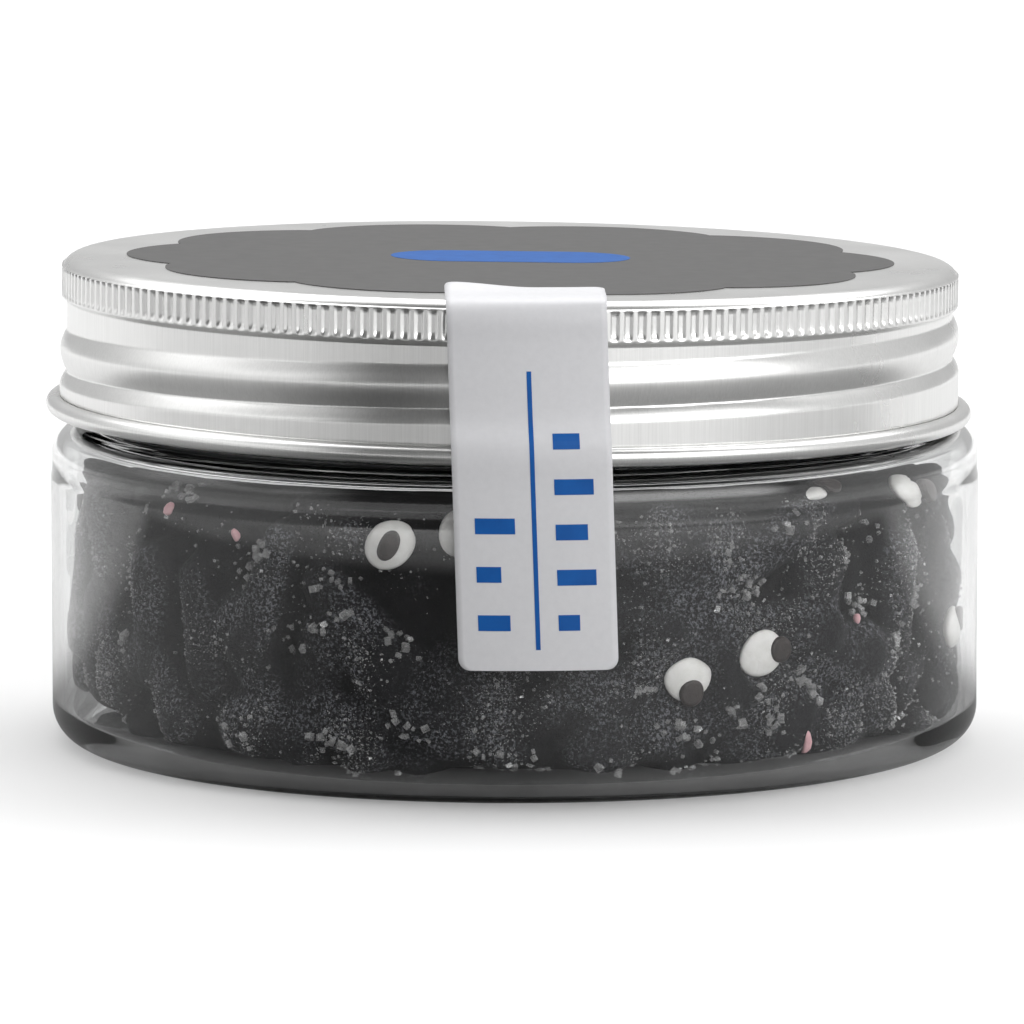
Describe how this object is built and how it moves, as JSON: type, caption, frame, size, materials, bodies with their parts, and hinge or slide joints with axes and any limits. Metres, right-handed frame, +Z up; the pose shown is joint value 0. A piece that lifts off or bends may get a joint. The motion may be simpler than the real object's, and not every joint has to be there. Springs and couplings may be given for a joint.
{
  "type": "jar of jelly spiders",
  "caption": "Squat clear screw jar of black sugared jelly spiders with candy eyes, aluminium screw lid and a paper seal strip over its edge.",
  "frame": {"origin": "centre of the jar's foot, at the surface it stands on", "axes": "+Z up along the jar's axis, -Y to the front with the paper seal, +X to the right as seen from the front"},
  "size_m": [0.0932, 0.0936, 0.0487],
  "materials": {
    "clear_plastic": "clear, glossy",
    "spun_aluminium": "satin, finely brushed round the skirt",
    "black_jelly": "soft jelly dusted with fine sugar",
    "white_paper": "coated white paper",
    "grey_label": "satin printed film",
    "blue_print": "printed ink",
    "white_candy": "hard white sugar candy",
    "dark_candy": "hard dark sugar candy",
    "pink_candy": "small crumbs of hard pink sugar candy",
    "sugar": "sparkling sugar crystals"
  },
  "bodies": {
    "root": {"jar": "clear_plastic", "jelly_spiders": "black_jelly", "paper_seal": "white_paper", "lid": "spun_aluminium", "lid_label": "grey_label"}
  },
  "joints": []
}
